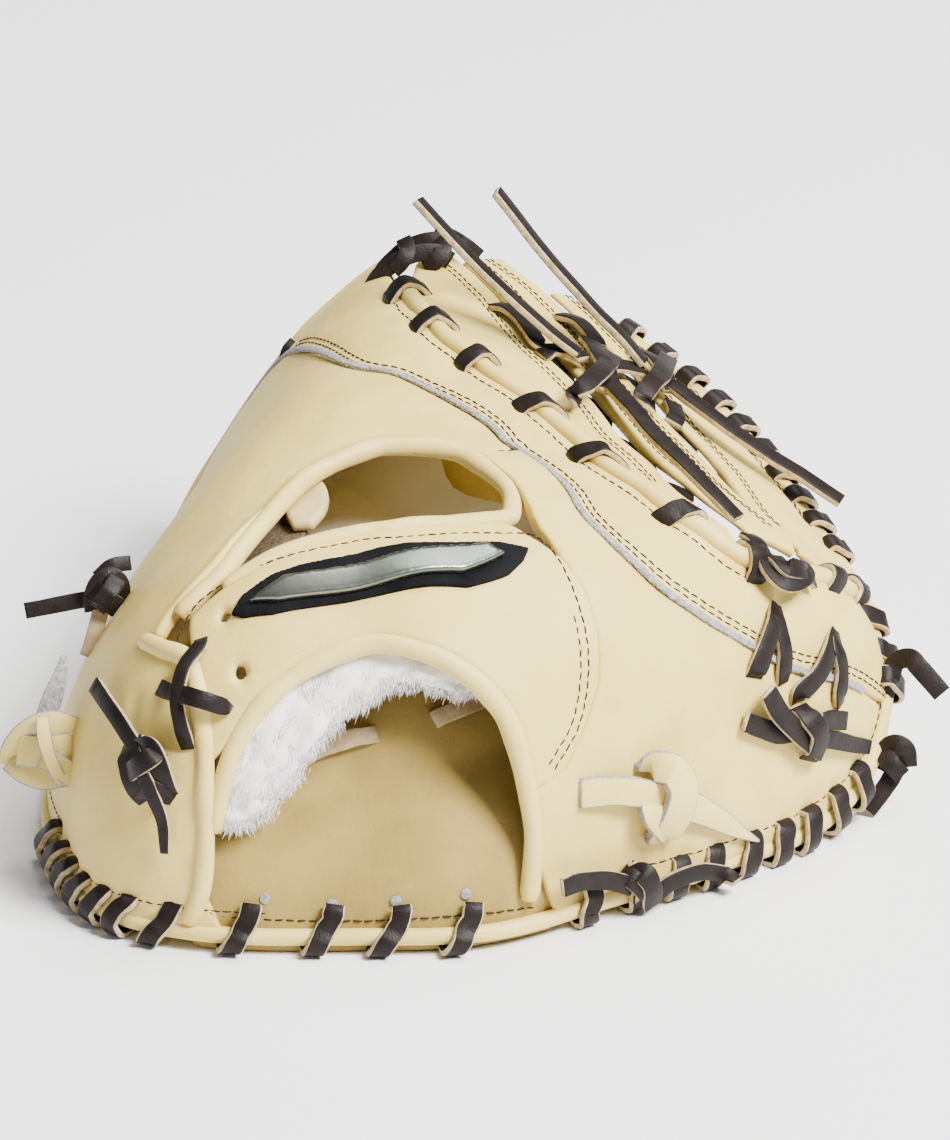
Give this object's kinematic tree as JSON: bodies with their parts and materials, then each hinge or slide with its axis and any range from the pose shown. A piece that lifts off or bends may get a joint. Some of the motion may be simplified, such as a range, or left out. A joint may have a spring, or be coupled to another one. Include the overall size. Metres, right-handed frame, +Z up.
{
  "type": "first baseman mitt",
  "caption": "Left-hand first baseman mitt in cream leather, lying pocket down, with a laced rim, a three-band web, an oval back opening and a wrist strap.",
  "frame": {"origin": "bottom centre of the mitt without its four free lace ends, on the table that it lies on", "axes": "+Z up from the table, +Y from the heel towards the fingertips, +X towards the thumb"},
  "size_m": [0.2692, 0.2712, 0.1579],
  "materials": {
    "cream": "smooth cream leather",
    "roll": "rolled pale leather",
    "tan": "soft tan lining leather",
    "lace": "dark brown rawhide lace",
    "raw_edge": "grey raw leather edge",
    "felt": "black felt",
    "plate": "dull metallic",
    "fleece": "white fleece",
    "mesh": "brown perforated fabric"
  },
  "bodies": {
    "root": {"back_finger_panel": "cream", "back_opening_binding": "roll", "back_thumb_panel": "cream", "back_upper_panel": "cream", "badge_felt": "felt", "badge_plate": "plate", "edge_knot": "lace", "finger_edge_lace": "lace", "finger_loop_tab": "tan", "heel_lace": "lace", "mesh_patch": "mesh", "near_row_lace": "lace", "palm_edge_binding": "roll", "palm_liner": "tan", "palm_pad": "cream", "pinky_edge_lace": "lace", "pinky_heel_binding": "roll", "pinky_knot": "lace", "pinky_loop_strap": "cream", "rim_lace": "lace", "row_end_knot": "lace", "seam_strip": "raw_edge", "side_knot": "lace", "side_tab": "cream", "strap_lace": "lace", "thumb_edge_lace": "lace", "thumb_knot": "lace", "thumb_loop_strap": "cream", "thumb_tie_lower": "lace", "thumb_tie_upper": "lace", "thumb_tip_lace": "lace", "tip_curl": "lace", "tip_knot": "lace", "tip_lace": "lace", "valley_lace_far": "lace", "valley_lace_near": "lace", "web_far_band": "cream", "web_knot_left": "lace", "web_knot_right": "lace", "web_middle_band": "cream", "web_near_band": "cream", "web_tail_down_left": "lace", "web_tail_down_right": "lace", "web_tail_up_left": "lace", "web_tail_up_right": "lace", "web_welt": "roll", "wrist_fleece": "fleece", "wrist_strap": "cream", "wrist_strap_binding": "roll"}
  },
  "joints": []
}
